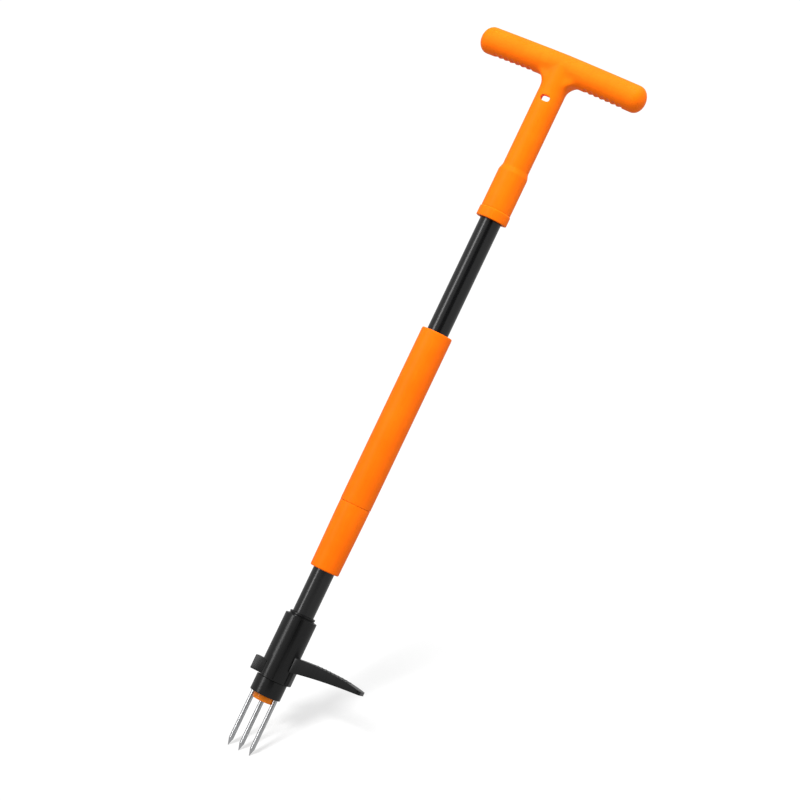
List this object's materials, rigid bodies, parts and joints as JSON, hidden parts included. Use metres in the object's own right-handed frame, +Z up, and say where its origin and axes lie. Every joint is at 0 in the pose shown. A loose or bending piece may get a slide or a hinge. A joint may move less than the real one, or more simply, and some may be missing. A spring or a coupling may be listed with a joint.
{
  "type": "stand-up weed puller",
  "caption": "Long-handled stand-up weed puller: T-handle, steel shaft, sliding ejector sleeve, black head with foot pedal and lock button, ejector disc and straight pointed tines.",
  "frame": {"origin": "the middle tine's tip, at the centre of the bottom of the box, where the tines enter the soil", "axes": "+Z up the shaft from the tips to the T-handle; X along the cross bar and the row of tines, with the foot pedal towards +X and the lock button towards -X; Y across, front at -Y"},
  "size_m": [0.234, 0.0434, 0.97],
  "materials": {
    "orange_moulding": "satin injection-moulded plastic, orange",
    "orange_grip": "satin plastic sleeve, slightly deeper orange",
    "orange_plate": "moulded plastic disc, orange",
    "black_moulding": "satin black moulded plastic",
    "black_paint": "gloss black powder coat on steel tube",
    "tine_steel": "polished steel",
    "zinc_steel": "zinc-plated steel",
    "pale_nylon": "natural nylon"
  },
  "bodies": {
    "frame": {"t_handle": "orange_moulding", "handle_screw": "zinc_steel", "shaft_tube": "black_paint", "spring_stop": "zinc_steel", "stop_screw_front": "zinc_steel", "stop_screw_back": "zinc_steel", "head_core": "black_moulding", "pedal_housing": "black_moulding", "head_screw": "zinc_steel", "tine_holder": "black_moulding", "tine_left": "tine_steel", "tine_centre": "tine_steel", "tine_right": "tine_steel"},
    "ejector": {"grip_sleeve": "orange_grip", "grip_ferrule": "orange_grip", "upper_slide_bush": "pale_nylon", "lower_slide_bush": "pale_nylon", "pin_carrier": "pale_nylon", "cross_pin": "zinc_steel", "rod_head": "pale_nylon", "push_rod": "zinc_steel", "return_spring": "zinc_steel", "ejector_yoke": "pale_nylon", "ejector_leg_front": "zinc_steel", "ejector_leg_back": "zinc_steel", "ejector_plate": "orange_plate"},
    "latch": {"lock_button": "black_moulding", "lock_spring": "zinc_steel"}
  },
  "joints": [
    {"name": "ejector_slide", "type": "slide", "parent": "frame", "child": "ejector", "axis": [0, 0, -1], "range_m": [0, 0.058], "stiffness_N_per_m": 250, "springref_m": -0.06, "deforming": ["return_spring"]},
    {"name": "latch_press", "type": "slide", "parent": "frame", "child": "latch", "axis": [1, 0, 0], "range_m": [0, 0.005], "stiffness_N_per_m": 800, "springref_m": -0.004, "deforming": ["lock_spring"]}
  ]
}
